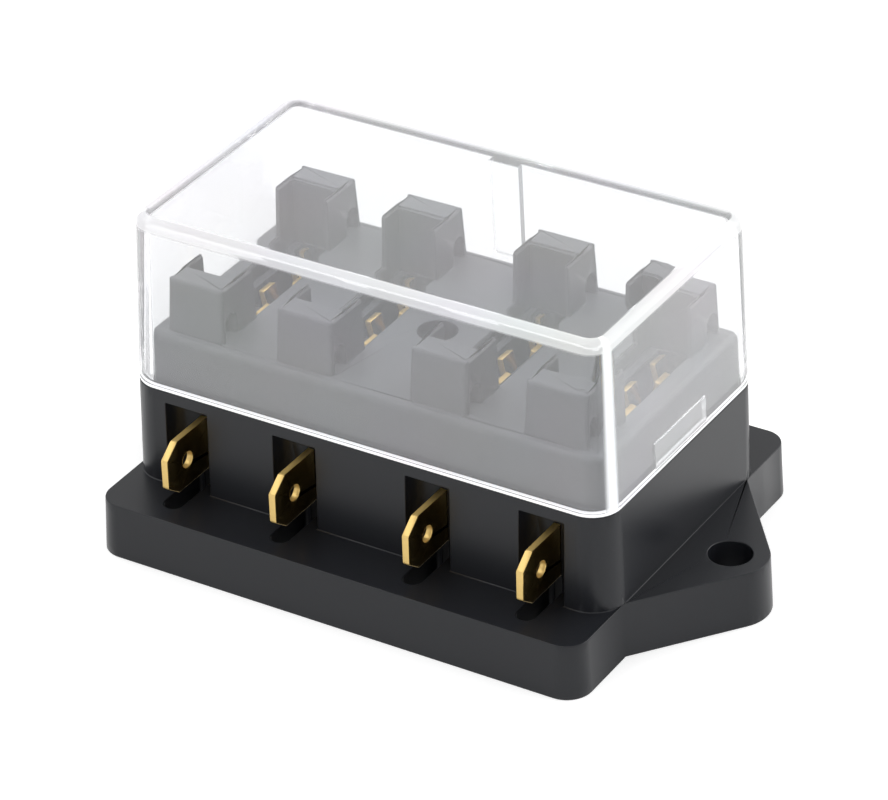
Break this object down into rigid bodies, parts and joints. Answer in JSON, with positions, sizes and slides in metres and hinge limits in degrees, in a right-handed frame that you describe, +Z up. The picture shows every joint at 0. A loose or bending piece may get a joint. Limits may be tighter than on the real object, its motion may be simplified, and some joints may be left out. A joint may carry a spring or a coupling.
{
  "type": "fuse holder",
  "caption": "Panel-mount blade fuse holder: black moulded base with screw ears, brass push-on tabs along both long sides and a clear lift-off cover.",
  "frame": {"origin": "centre of the underside, midway between the two ear holes", "axes": "+X along the row of fuse ways through both ears, +Y towards the rear tabs, +Z up out of the panel through the cover"},
  "size_m": [0.078, 0.0472, 0.0376],
  "materials": {
    "housing": "satin moulded black nylon",
    "clear_cover": "clear polished polycarbonate",
    "brass": "bright stamped brass"
  },
  "bodies": {
    "base": {"base_housing": "housing", "terminal_front_1": "brass", "terminal_front_2": "brass", "terminal_front_3": "brass", "terminal_front_4": "brass", "terminal_rear_1": "brass", "terminal_rear_2": "brass", "terminal_rear_3": "brass", "terminal_rear_4": "brass"},
    "cover": {"cover": "clear_cover"}
  },
  "joints": [
    {"name": "cover_lift", "type": "slide", "parent": "base", "child": "cover", "axis": [0, 0, 1], "range_m": [0, 0.03]}
  ]
}
